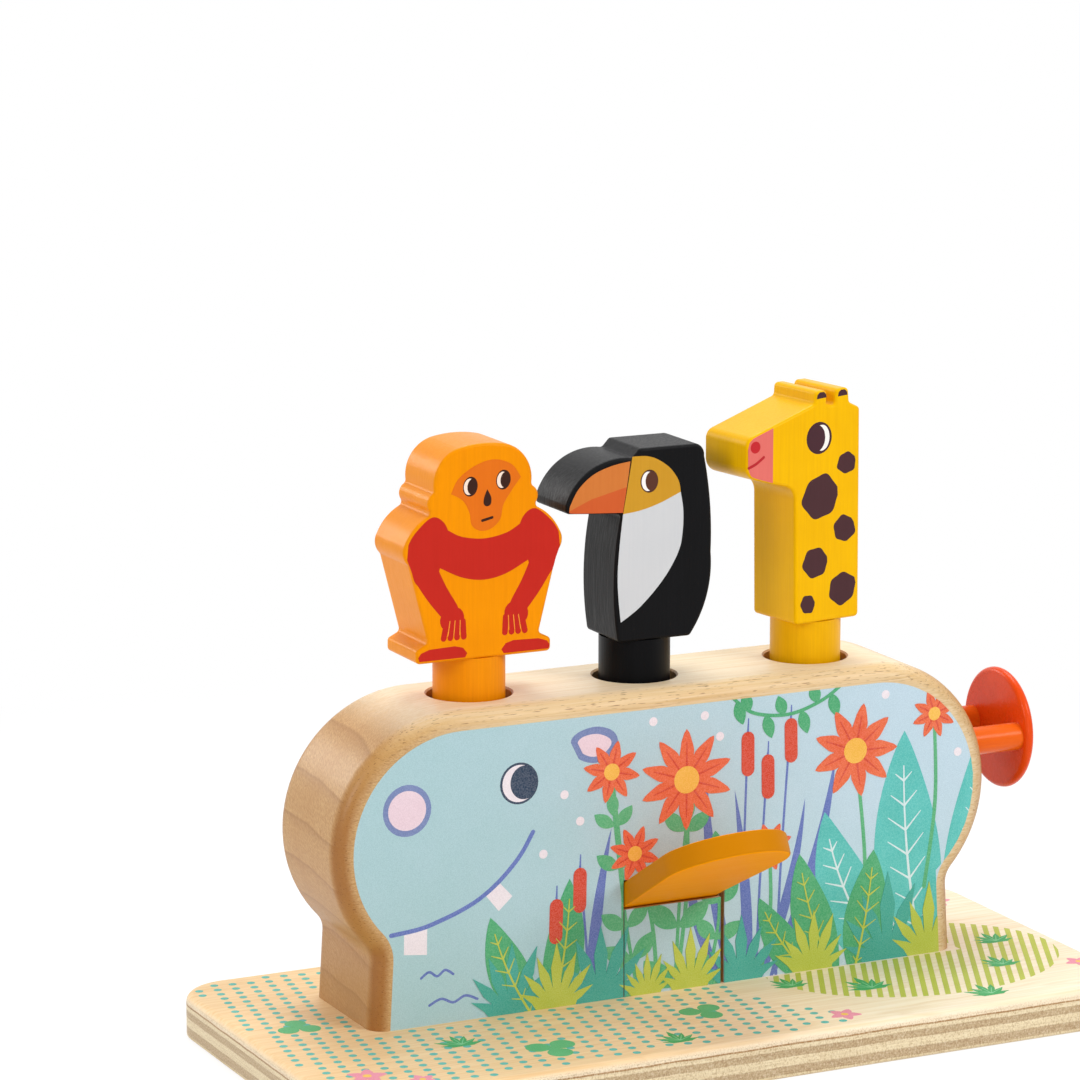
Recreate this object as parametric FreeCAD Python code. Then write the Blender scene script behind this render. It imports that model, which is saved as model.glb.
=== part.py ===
import FreeCAD, Part
import math
import os

# Wooden pop up toy: a hippo shaped block on a plywood base, with three animals on round pegs.
# The monkey stands on a spring, the toucan on a tilting paddle and the giraffe on a push in wedge.
# Millimetres, +Z up, the front looks along -Y, and the origin is the centre of the base's underside.

V = FreeCAD.Vector
X_AXIS = V(1, 0, 0)
Z_AXIS = V(0, 0, 1)

# Base board
base_length = 310.0
base_width = 145.0
base_thickness = 15.0
base_corner_radius = 18.0
base_top_round = 3.0
base_bottom_round = 1.0

# Hippo block
body_half_width = 127.0
body_height = 108.0
body_thickness = 51.0
body_centre_y = 16.2
cheek_radius = 46.5
foot_half_width = 114.0
waist_half_width = 112.3
waist_round = 8.0
edge_round = 6.3
print_thickness = 0.4
print_gap = 0.2

# How far a cutting shape reaches past the face that it opens
past = 1.0

# Peg holes
monkey_x = -65.9
toucan_x = -2.4
giraffe_x = 65.6
hole_radius = 14.7
counterbore_radius = 17.0
rim_chamfer = 0.6

# Animals and pegs
figure_thickness = 25.0
figure_edge_round = 1.2
corner_round = 1.6
figure_gap = 14.5
giraffe_turn = 8.0
peg_radius = 12.5
peg_end_round = 4.0
tenon_radius = 6.0
tenon_length = 16.0
groove_drop = 42.0
groove_width = 3.0
groove_depth = 1.2

# Tappets under the pegs
dome_radius = 6.0
stem_height = 5.0
flange_radius = 16.5
flange_thickness = 4.0
tappet_clearance = 0.15
stop_clearance = 0.3

# Monkey spring
monkey_peg_length = 85.0
spigot_radius = 7.0
spigot_length = 8.0
seat_boss_radius = 13.8
seat_boss_height = 2.2
spring_wire_radius = 0.7
spring_mean_radius = 10.5
spring_turns = 6
spring_end_gap = 0.1
spring_recess_radius = 12.0
spring_recess_depth = 2.0

# Paddle lever
paddle_tilt = 28.0
lever_thickness = 8.0
lever_root_half_width = 18.9
paddle_radius = 22.2
paddle_centre = 46.0
root_straight = 6.0
tail_half_width = 13.0
tail_length = 28.0
lever_edge_round = 1.0
axle_radius = 1.5
axle_clearance = 0.1
axle_setback = 3.2
axle_half_length = 28.0
keeper_gap = 0.2
paddle_underside = 47.6
notch_left = -19.3
notch_right = 20.3
lever_pocket_back = 34.0
filler_thickness = 12.0
filler_slack = 0.4
filler_gap_left = 0.45
filler_gap_right = 1.5

# Plunger
plunger_height = 88.0
plunger_travel = 15.0
ramp_angle = 35.0
rod_radius = 5.0
rod_clearance = 0.15
rod_half_spacing = 15.0
rod_inner_end = 87.0
disc_radius = 22.0
disc_thickness = 3.6
disc_inner_face = 145.0
disc_crown = 1.0
disc_crown_flat = 3.0
rod_socket_depth = 2.5
wedge_bottom = 78.5
wedge_left = 62.0
ramp_start = 67.0
ramp_low = 82.5
ramp_length = 18.5
wedge_right = 104.0
wedge_half_width = 15.0
pocket_left = 46.5
pocket_right = 106.0
pocket_half_width = 20.4
guide_clearance = 0.3

# Screws through the base
screw_head_radius = 4.0
screw_shank_radius = 2.0
screw_length = 38.0
screw_head_sink = 0.4
screw_places = [(-100.0, 4.2), (-100.0, 28.2), (-38.5, 16.2), (39.6, 16.2), (78.0, 6.2), (78.0, 26.2)]

# Places worked out from the dimensions above
body_front_y = body_centre_y - body_thickness / 2
body_back_y = body_centre_y + body_thickness / 2
body_top = base_thickness + body_height
figure_bottom = body_top + figure_gap
tappet_seat = stem_height + flange_thickness
tilt = math.radians(paddle_tilt)
ramp = math.radians(ramp_angle)
half_lever = lever_thickness / 2
axle_y = body_front_y + axle_setback
axle_z = paddle_underside - axle_setback * math.tan(tilt) + half_lever / math.cos(tilt)
notch_top = axle_z + axle_setback * math.tan(tilt) + half_lever / math.cos(tilt) + stop_clearance
filler_top = axle_z - half_lever - axle_clearance
filler_left = notch_left + filler_gap_left
filler_right = notch_right - filler_gap_right

# The lever's flat top lifts the round end of the toucan's tappet
tappet_reach = body_centre_y - axle_y
dome_offset = dome_radius + half_lever
toucan_dome_low = axle_z + (dome_offset - tappet_reach * math.sin(tilt)) / math.cos(tilt)
toucan_lift = axle_z + dome_offset - toucan_dome_low
toucan_dome = toucan_dome_low + tappet_clearance
toucan_seat = toucan_dome + tappet_seat
toucan_step = toucan_seat + toucan_lift + stop_clearance

# The wedge's ramp lifts the round end of the giraffe's tappet
giraffe_contact_x = giraffe_x + dome_radius * math.sin(ramp)
giraffe_contact_z = ramp_low + (giraffe_contact_x - ramp_start) * math.tan(ramp)
giraffe_dome = giraffe_contact_z + dome_radius * math.cos(ramp) + tappet_clearance
giraffe_lift = plunger_travel * math.tan(ramp)
giraffe_seat = giraffe_dome + tappet_seat
giraffe_step = giraffe_seat + giraffe_lift + stop_clearance
wedge_top = ramp_low + ramp_length * math.tan(ramp)
wedge_pocket_top = wedge_top + guide_clearance
rod_places = [body_centre_y - rod_half_spacing, body_centre_y + rod_half_spacing]

# The spring holds the monkey's cup against a step in its bore
monkey_seat = figure_bottom - monkey_peg_length
monkey_flange_top = monkey_seat - seat_boss_height
monkey_step = monkey_flange_top + stop_clearance


def box(x0, x1, y0, y1, z0, z1):
    return Part.makeBox(x1 - x0, y1 - y0, z1 - z0, V(x0, y0, z0))


def upright(x, radius, z0, z1, y=body_centre_y):
    return Part.makeCylinder(radius, z1 - z0, V(x, y, z0), Z_AXIS)


def cross_rod(y, z, radius, x0, x1):
    return Part.makeCylinder(radius, x1 - x0, V(x0, y, z), X_AXIS)


def chain(spans):
    # Each span is a list of points: two make a line, three an arc, more a smooth curve
    edges = []
    for points in spans:
        if len(points) == 2:
            edges.append(Part.LineSegment(points[0], points[1]).toShape())
        elif len(points) == 3:
            edges.append(Part.Arc(points[0], points[1], points[2]).toShape())
        else:
            curve = Part.BSplineCurve()
            curve.interpolate(points)
            edges.append(curve.toShape())
    return Part.Wire(edges)


def board(spans, x, y, z, thickness):
    # Outline spans of (across, up) pairs, sawn from an upright board whose front is at y
    placed = [[V(x + across, y, z + up) for across, up in span] for span in spans]
    return Part.Face(chain(placed)).extrude(V(0, thickness, 0))


def turned(profile, x):
    # Spans of (radius, height) pairs, turned about the upright axis of the hole at x
    placed = [[V(x + radius, body_centre_y, z) for radius, z in span] for span in profile]
    return Part.Face(chain(placed)).revolve(V(x, body_centre_y, 0), Z_AXIS, 360)


def mirrored(foot, right, crown):
    # The foot and crown cross the middle, and the right side climbs from one to the other
    left = [[(-across, up) for across, up in reversed(span)] for span in reversed(right)]
    return [foot] + right + [crown] + left


def edges_in_plane(shape, y):
    found = []
    for edge in shape.Edges:
        bounds = edge.BoundBox
        if abs(bounds.YMin - y) < 0.01 and abs(bounds.YMax - y) < 0.01:
            found.append(edge)
    return found


def make_base():
    half_x = base_length / 2
    half_y = base_width / 2
    base = box(-half_x, half_x, -half_y, half_y, 0, base_thickness)
    corners = [e for e in base.Edges if e.BoundBox.ZLength > base_thickness - 0.1]
    base = base.makeFillet(base_corner_radius, corners)
    top_edges = [e for e in base.Edges if e.BoundBox.ZMin > base_thickness - 0.01]
    base = base.makeFillet(base_top_round, top_edges)
    bottom_edges = [e for e in base.Edges if e.BoundBox.ZMax < 0.01]
    base = base.makeFillet(base_bottom_round, bottom_edges)
    base = base.cut(upright(monkey_x, spring_recess_radius, base_thickness - spring_recess_depth, base_thickness))
    for x, y in screw_places:
        way_in = upright(x, screw_head_radius, -past, screw_head_sink, y)
        base = base.cut(way_in.fuse(make_screw(x, y)))
    return base


def make_screw(x, y):
    neck = screw_head_sink + screw_head_radius - screw_shank_radius
    tip = screw_head_sink + screw_length
    point = tip - 2 * screw_shank_radius
    profile = [
        V(x, y, screw_head_sink),
        V(x + screw_head_radius, y, screw_head_sink),
        V(x + screw_shank_radius, y, neck),
        V(x + screw_shank_radius, y, point),
        V(x, y, tip),
        V(x, y, screw_head_sink),
    ]
    return Part.Face(Part.makePolygon(profile)).revolve(V(x, y, 0), Z_AXIS, 360)


def make_screws():
    return Part.makeCompound([make_screw(x, y) for x, y in screw_places])


def hippo_board(inset, thickness):
    # Two feet, a drawn in waist above each, round cheeks and a flat top, all moved in by the inset
    centre_x = body_half_width - cheek_radius
    centre_z = body_height - cheek_radius
    radius = cheek_radius - inset
    slant = radius * math.sqrt(0.5)
    waist_x = waist_half_width - inset
    waist_z = centre_z - math.sqrt(radius ** 2 - (waist_x - centre_x) ** 2)
    foot_x = foot_half_width - inset
    top_z = centre_z + radius
    right = [
        [(foot_x, 0), (waist_x, waist_z)],
        [(waist_x, waist_z), (centre_x + slant, centre_z + slant), (centre_x, top_z)],
    ]
    outline = mirrored([(-foot_x, 0), (foot_x, 0)], right, [(centre_x, top_z), (-centre_x, top_z)])
    sawn = board(outline, 0, body_front_y, base_thickness, thickness)
    waists = []
    for edge in sawn.Edges:
        bounds = edge.BoundBox
        across = abs(bounds.XMin + bounds.XMax) / 2
        if bounds.YLength > thickness - 0.01 and abs(across - waist_x) < 0.1:
            waists.append(edge)
    return sawn.makeFillet(waist_round + inset, waists)


def make_print_sheet():
    return hippo_board(edge_round + print_gap, print_thickness).cut(lever_pocket())


def lever_pocket():
    # Runs through the front face and up from the underside, as wide as the notch
    return box(notch_left, notch_right, body_front_y - past, lever_pocket_back, 0, notch_top)


def axle_slots():
    radius = axle_radius + axle_clearance
    reach = axle_half_length + axle_clearance
    way_in = box(-reach, reach, axle_y - radius, axle_y + radius, 0, axle_z)
    return way_in.fuse(cross_rod(axle_y, axle_z, radius, -reach, reach))


def plunger_pocket():
    front = body_centre_y - pocket_half_width
    back = body_centre_y + pocket_half_width
    pocket = box(pocket_left, pocket_right, front, back, 0, wedge_pocket_top)
    for y in rod_places:
        radius = rod_radius + rod_clearance
        bore = cross_rod(y, plunger_height, radius, pocket_right - past, body_half_width + past)
        pocket = pocket.fuse(bore)
    return pocket


def peg_hole(x, step):
    # A plain hole down to the step, a wider one below it for the tappet, and a broken edge on top
    hole = upright(x, hole_radius, 0, body_top + past)
    hole = hole.fuse(upright(x, counterbore_radius, 0, step))
    rim = Part.makeCone(hole_radius, hole_radius + 2 * rim_chamfer, 2 * rim_chamfer,
                        V(x, body_centre_y, body_top - rim_chamfer), Z_AXIS)
    return hole.fuse(rim)


def make_body(sheet):
    body = hippo_board(0, body_thickness)
    long_edges = edges_in_plane(body, body_front_y) + edges_in_plane(body, body_back_y)
    long_edges = [e for e in long_edges if e.BoundBox.ZMax > base_thickness + 0.01]
    body = body.makeFillet(edge_round, long_edges)
    for x, step in [(monkey_x, monkey_step), (toucan_x, toucan_step), (giraffe_x, giraffe_step)]:
        body = body.cut(peg_hole(x, step))
    body = body.cut(lever_pocket()).cut(axle_slots()).cut(plunger_pocket()).cut(sheet)
    for x, y in screw_places:
        body = body.cut(make_screw(x, y))
    return body


def make_filler():
    # Closes the notch below the lever. Its top falls away behind, as the lever's underside does
    slack = filler_slack / math.cos(tilt)
    nose = (paddle_underside - slack - filler_top) / math.tan(tilt)
    back_top = paddle_underside - slack - filler_thickness * math.tan(tilt)
    profile = [
        V(filler_left, body_front_y, base_thickness),
        V(filler_left, body_front_y, filler_top),
        V(filler_left, body_front_y + nose, filler_top),
        V(filler_left, body_front_y + filler_thickness, back_top),
        V(filler_left, body_front_y + filler_thickness, base_thickness),
        V(filler_left, body_front_y, base_thickness),
    ]
    filler = Part.Face(Part.makePolygon(profile)).extrude(V(filler_right - filler_left, 0, 0))
    return filler.cut(make_filler_print())


def make_filler_print():
    back = body_front_y + print_thickness
    return box(filler_left, filler_right, body_front_y, back, base_thickness, filler_top)


def make_keepers():
    # Strips that stand in the axle's slots, one on each side, and carry its ends
    front = axle_y - axle_radius
    back = axle_y + axle_radius
    top = axle_z - axle_radius
    left = box(-axle_half_length, notch_left - keeper_gap, front, back, base_thickness, top)
    right = box(notch_right + keeper_gap, axle_half_length, front, back, base_thickness, top)
    return Part.makeCompound([left, right])


def make_lever():
    # A flat board with a round paddle in front, a straight root and a narrower tail under the toucan.
    # It is drawn level, with the axle at its centre line, and then tilted
    half = lever_root_half_width
    shoulder = -half_lever - axle_setback
    span = math.hypot(half, paddle_centre - root_straight)
    touch = math.atan2(root_straight - paddle_centre, half) + math.acos(paddle_radius / span)
    touch_x = paddle_radius * math.cos(touch)
    touch_out = paddle_centre + paddle_radius * math.sin(touch)
    tail_centre = tail_half_width - tail_length
    tail_end = [(-tail_half_width, tail_centre), (0, -tail_length), (tail_half_width, tail_centre)]
    right = [
        [(tail_half_width, tail_centre), (tail_half_width, shoulder)],
        [(tail_half_width, shoulder), (half, shoulder)],
        [(half, shoulder), (half, root_straight)],
        [(half, root_straight), (touch_x, touch_out)],
    ]
    paddle_end = [(touch_x, touch_out), (0, paddle_centre + paddle_radius), (-touch_x, touch_out)]
    under = axle_z - half_lever
    outline = mirrored(tail_end, right, paddle_end)
    placed = [[V(x, axle_y - out, under) for x, out in points] for points in outline]
    lever = Part.Face(chain(placed)).extrude(V(0, 0, lever_thickness))
    rims = [e for e in lever.Edges if e.BoundBox.ZLength < 0.01]
    lever = lever.makeFillet(lever_edge_round, rims)
    lever = lever.cut(cross_rod(axle_y, axle_z, axle_radius + axle_clearance, -base_length, base_length))
    lever.rotate(V(0, axle_y, axle_z), X_AXIS, -paddle_tilt)
    return lever


def make_axle():
    return cross_rod(axle_y, axle_z, axle_radius, -axle_half_length, axle_half_length)


def make_tappet(x, dome_z):
    # A round ended stem below and a flange above, which the peg stands on
    slant = dome_radius * math.sqrt(0.5)
    under = dome_z + stem_height
    seat = under + flange_thickness
    profile = [
        [(0, dome_z - dome_radius), (slant, dome_z - slant), (dome_radius, dome_z)],
        [(dome_radius, dome_z), (dome_radius, under)],
        [(dome_radius, under), (flange_radius, under)],
        [(flange_radius, under), (flange_radius, seat)],
        [(flange_radius, seat), (0, seat)],
        [(0, seat), (0, dome_z - dome_radius)],
    ]
    return turned(profile, x)


def make_spring_cup():
    under = monkey_flange_top - flange_thickness
    cup = upright(monkey_x, spigot_radius, under - spigot_length, under)
    cup = cup.fuse(upright(monkey_x, flange_radius, under, monkey_flange_top))
    return cup.fuse(upright(monkey_x, seat_boss_radius, monkey_flange_top, monkey_seat))


def arc_from(start, tangent, end):
    # The arc that leaves start along the tangent and ends at end
    chord = end - start
    lean = tangent.getAngle(chord)
    apex = start + tangent * (chord.Length / 2 / math.cos(lean))
    middle = (start + end) * 0.5
    rise = (apex - middle).normalize() * (chord.Length / 2 * math.tan(lean / 2))
    return Part.Arc(start, middle + rise, end).toShape()


def make_spring():
    # Every half turn of the helix is two arcs that meet tangentially
    low = base_thickness - spring_recess_depth + spring_wire_radius
    high = monkey_flange_top - flange_thickness - spring_wire_radius - spring_end_gap
    climb = (high - low) / (2 * math.pi * spring_turns)

    def place(angle):
        around = V(math.cos(angle), math.sin(angle), 0) * spring_mean_radius
        return V(monkey_x, body_centre_y, low + climb * angle) + around

    def heading(angle):
        return V(-spring_mean_radius * math.sin(angle), spring_mean_radius * math.cos(angle), climb).normalize()

    arcs = []
    for half_turn in range(2 * spring_turns):
        first = math.pi * half_turn
        last = first + math.pi
        span = place(last) - place(first)
        away = heading(first)
        home = heading(last)
        bend = 2 * (1 - away.dot(home))
        along = span.dot(away + home)
        reach = (math.sqrt(along ** 2 + bend * span.dot(span)) - along) / bend
        joint = (place(first) + away * reach + place(last) - home * reach) * 0.5
        arcs.append(arc_from(place(first), away, joint))
        join_heading = (place(last) - home * reach - joint).normalize()
        arcs.append(arc_from(joint, join_heading, place(last)))
    path = Part.Wire(arcs)
    ring = Part.Wire(Part.makeCircle(spring_wire_radius, place(0), heading(0)))
    coil = path.makePipeShell([ring], True, False)
    gap = 2 * math.pi * climb - 2 * spring_wire_radius
    print("spring: gap between turns", round(gap, 2), "path length", round(path.Length, 1))
    return coil


def make_peg(x, length, groove):
    # Round end below, a tenon above that is glued into the figure, and a turned groove if it has one
    low = figure_bottom - length
    corner = peg_end_round * math.sqrt(0.5)
    start = (peg_radius, low + peg_end_round)
    profile = [
        [(0, low), (peg_radius - peg_end_round, low)],
        [(peg_radius - peg_end_round, low),
         (peg_radius - peg_end_round + corner, low + peg_end_round - corner), start],
    ]
    if groove:
        under = figure_bottom - groove_drop - groove_width / 2
        over = under + groove_width
        floor = peg_radius - groove_depth
        profile.append([start, (peg_radius, under)])
        profile.append([(peg_radius, under), (floor, under + groove_width / 4)])
        profile.append([(floor, under + groove_width / 4), (floor, over - groove_width / 4)])
        profile.append([(floor, over - groove_width / 4), (peg_radius, over)])
        start = (peg_radius, over)
    profile.append([start, (peg_radius, figure_bottom)])
    profile.append([(peg_radius, figure_bottom), (tenon_radius, figure_bottom)])
    profile.append([(tenon_radius, figure_bottom), (tenon_radius, figure_bottom + tenon_length)])
    profile.append([(tenon_radius, figure_bottom + tenon_length), (0, figure_bottom + tenon_length)])
    profile.append([(0, figure_bottom + tenon_length), (0, low)])
    return turned(profile, x)


def softened(face):
    # Rounds the outline's outward corners, then its inward ones
    face = face.makeOffset2D(-corner_round).makeOffset2D(corner_round)
    return face.makeOffset2D(corner_round).makeOffset2D(-corner_round).Faces[0]


def make_figure(spans, x, turn):
    # A thick sawn board with its outline's edges rounded over, drilled below for the tenon
    front = body_centre_y - figure_thickness / 2
    back = body_centre_y + figure_thickness / 2
    placed = [[V(x + across, front, figure_bottom + up) for across, up in span] for span in spans]
    figure = softened(Part.Face(chain(placed))).extrude(V(0, figure_thickness, 0))
    outline = edges_in_plane(figure, front) + edges_in_plane(figure, back)
    figure = figure.makeFillet(figure_edge_round, outline)
    figure = figure.cut(upright(x, tenon_radius, figure_bottom - past, figure_bottom + tenon_length))
    figure.rotate(V(x, body_centre_y, 0), Z_AXIS, turn)
    return figure


def monkey_outline():
    # Sitting, seen from the front: feet, thighs, elbows, shoulders, ears and a broad head
    right = [
        [(25.2, 0), (25.2, 4.6)],
        [(25.2, 4.6), (20.7, 6.8)],
        [(20.7, 6.8), (27.8, 34.4)],
        [(27.8, 34.4), (29.6, 37.6), (28.8, 41.8)],
        [(28.8, 41.8), (25.2, 47.0), (18.6, 51.2)],
        [(18.6, 51.2), (20.6, 54.6), (18.0, 58.2)],
        [(18.0, 58.2), (16.6, 67.0), (9.0, 73.0)],
    ]
    return mirrored([(-25.2, 0), (25.2, 0)], right, [(9.0, 73.0), (0, 74.0), (-9.0, 73.0)])


def toucan_outline():
    # Seen from its left side, with the bill out to the left
    return [
        [(-12.4, 0), (15.4, 0)],
        [(15.4, 0), (21.7, 12.0), (23.6, 29.0)],
        [(23.6, 29.0), (23.2, 47.0), (20.8, 63.0)],
        [(20.8, 63.0), (19.6, 66.3), (16.4, 67.5)],
        [(16.4, 67.5), (-4.2, 67.5)],
        [(-4.2, 67.5), (-7.1, 64.4)],
        [(-7.1, 64.4), (-23.2, 61.4), (-32.4, 49.8)],
        [(-32.4, 49.8), (-32.4, 46.8)],
        [(-32.4, 46.8), (-11.2, 45.2)],
        [(-11.2, 45.2), (-14.0, 22.0), (-12.4, 0)],
    ]


def giraffe_outline():
    # Seen from its left side: straight neck, blunt muzzle out to the left and two short horns
    return [
        [(-13.8, 0), (14.2, 0)],
        [(14.2, 0), (13.6, 75.0)],
        [(13.6, 75.0), (9.0, 77.2)],
        [(9.0, 77.2), (8.5, 82.5)],
        [(8.5, 82.5), (3.0, 82.5)],
        [(3.0, 82.5), (2.6, 76.8)],
        [(2.6, 76.8), (-1.0, 76.8)],
        [(-1.0, 76.8), (-1.0, 82.4)],
        [(-1.0, 82.4), (-5.9, 82.4)],
        [(-5.9, 82.4), (-6.2, 77.9)],
        [(-6.2, 77.9), (-33.2, 68.9)],
        [(-33.2, 68.9), (-35.0, 67.4), (-35.6, 64.8)],
        [(-35.6, 64.8), (-35.6, 58.0)],
        [(-35.6, 58.0), (-34.4, 55.2), (-31.6, 53.4)],
        [(-31.6, 53.4), (-19.6, 50.2)],
        [(-19.6, 50.2), (-15.8, 48.2), (-14.4, 44.4)],
        [(-14.4, 44.4), (-13.8, 0)],
    ]


def make_rod(y):
    return cross_rod(y, plunger_height, rod_radius, rod_inner_end, disc_inner_face + rod_socket_depth)


def make_disc():
    # A thin round push plate with a rounded rim, slightly crowned outside, drilled for both rods
    inner = disc_inner_face
    outer = disc_inner_face + disc_thickness
    rim = disc_thickness / 2
    flat = disc_radius - rim
    top = outer + disc_crown
    spans = [
        [(inner, 0), (inner, flat)],
        [(inner, flat), (inner + rim, disc_radius), (outer, flat)],
        [(outer, flat), (outer + 0.7 * disc_crown, flat * 0.6), (top, disc_crown_flat)],
        [(top, disc_crown_flat), (top, 0)],
        [(top, 0), (inner, 0)],
    ]
    centre = V(0, body_centre_y, plunger_height)
    placed = [[V(x, body_centre_y, plunger_height + radius) for x, radius in span] for span in spans]
    disc = Part.Face(chain(placed)).revolve(centre, X_AXIS, 360)
    for y in rod_places:
        disc = disc.cut(make_rod(y))
    return disc


def make_wedge():
    # Low under the giraffe when the plunger is out; its ramp lifts the tappet as it comes in.
    # The rods lie in half round grooves in its sides
    ramp_end = ramp_start + ramp_length
    front = body_centre_y - wedge_half_width
    profile = [
        V(wedge_left, front, wedge_bottom),
        V(wedge_right, front, wedge_bottom),
        V(wedge_right, front, wedge_top),
        V(ramp_end, front, wedge_top),
        V(ramp_start, front, ramp_low),
        V(wedge_left, front, ramp_low),
        V(wedge_left, front, wedge_bottom),
    ]
    wedge = Part.Face(Part.makePolygon(profile)).extrude(V(0, 2 * wedge_half_width, 0))
    for y in rod_places:
        wedge = wedge.cut(make_rod(y))
    return wedge


def make_guide_block():
    # Fills the plunger's pocket from the base up and carries the wedge
    front = body_centre_y - pocket_half_width + guide_clearance
    back = body_centre_y + pocket_half_width - guide_clearance
    left = pocket_left + guide_clearance
    right = pocket_right - guide_clearance
    block = box(left, right, front, back, base_thickness, wedge_bottom - guide_clearance)
    for x, y in screw_places:
        block = block.cut(make_screw(x, y))
    return block


def main():
    sheet = make_print_sheet()
    nodes = {
        "base_board": make_base(),
        "base_screws": make_screws(),
        "hippo_body": make_body(sheet),
        "front_print": sheet,
        "notch_filler": make_filler(),
        "filler_print": make_filler_print(),
        "paddle_lever": make_lever(),
        "lever_axle": make_axle(),
        "axle_keepers": make_keepers(),
        "monkey_figure": make_figure(monkey_outline(), monkey_x, 0),
        "monkey_peg": make_peg(monkey_x, monkey_peg_length, True),
        "monkey_spring_cup": make_spring_cup(),
        "monkey_spring": make_spring(),
        "toucan_figure": make_figure(toucan_outline(), toucan_x, 0),
        "toucan_peg": make_peg(toucan_x, figure_bottom - toucan_seat, False),
        "toucan_tappet": make_tappet(toucan_x, toucan_dome),
        "giraffe_figure": make_figure(giraffe_outline(), giraffe_x, giraffe_turn),
        "giraffe_peg": make_peg(giraffe_x, figure_bottom - giraffe_seat, False),
        "giraffe_tappet": make_tappet(giraffe_x, giraffe_dome),
        "plunger_disc": make_disc(),
        "plunger_rod_front": make_rod(rod_places[0]),
        "plunger_rod_back": make_rod(rod_places[1]),
        "plunger_wedge": make_wedge(),
        "wedge_guide_block": make_guide_block(),
    }
    os.makedirs("parts", exist_ok=True)
    for name, shape in nodes.items():
        shape.exportStep("parts/" + name + ".step")
        print(name, len(shape.Solids), shape.isValid(), round(shape.Volume / 1000, 2), "cm3")
    print("lever axle at", round(axle_y, 3), round(axle_z, 3))
    print("toucan lift", round(toucan_lift, 3), "giraffe lift", round(giraffe_lift, 3))
    print("monkey press", figure_gap - stop_clearance)


main()
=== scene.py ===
import math
import random

import bpy
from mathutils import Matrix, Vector
from mathutils.geometry import tessellate_polygon


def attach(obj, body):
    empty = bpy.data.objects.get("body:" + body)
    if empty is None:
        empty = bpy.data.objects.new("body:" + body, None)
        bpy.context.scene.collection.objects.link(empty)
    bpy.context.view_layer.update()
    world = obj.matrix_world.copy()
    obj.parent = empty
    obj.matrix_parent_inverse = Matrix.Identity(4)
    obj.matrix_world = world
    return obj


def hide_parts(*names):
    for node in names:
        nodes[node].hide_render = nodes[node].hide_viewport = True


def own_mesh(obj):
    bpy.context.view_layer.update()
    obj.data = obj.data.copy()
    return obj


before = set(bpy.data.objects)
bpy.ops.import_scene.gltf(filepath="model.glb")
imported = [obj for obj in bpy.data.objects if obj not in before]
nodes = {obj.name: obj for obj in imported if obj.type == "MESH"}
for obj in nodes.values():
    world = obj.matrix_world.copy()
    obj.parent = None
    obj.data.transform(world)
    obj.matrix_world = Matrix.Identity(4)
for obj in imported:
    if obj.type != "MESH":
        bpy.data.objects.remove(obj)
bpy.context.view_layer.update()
MM = 0.001

# Places on the toy, in millimetres
FRONT_Y = -9.3
BASE_TOP = 15.0
PANEL_TOP = 116.5
NOTCH = (-19.3, 20.3)
NOTCH_TOP = 57.0
FILLER = (-18.85, 18.8)
FILLER_TOP = 46.33
CHEEK_X, CHEEK_Z, CHEEK_R = 80.5, 76.5, 40.0
WAIST_Z, WAIST_X, FOOT_X = 45.5, 105.8, 107.5
PEG_Y = 16.2
PEG_X = {"monkey": -65.9, "toucan": -2.4, "giraffe": 65.6}
FIGURE_FRONT = 12.5
FIGURE_FOOT = 137.5
FIGURE_TURN = {"monkey": 0.0, "toucan": 0.0, "giraffe": math.radians(8)}
PADDLE_TILT = math.radians(28)
BLOCK_HALF_LENGTH = 114.5
BLOCK_BACK = 41.7


def rgb(code):
    """Linear colour of a hex code."""
    parts = [int(code[i:i + 2], 16) / 255 for i in (1, 3, 5)]
    return tuple(c / 12.92 if c < 0.04045 else ((c + 0.055) / 1.055) ** 2.4 for c in parts) + (1.0,)


# Materials

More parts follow.
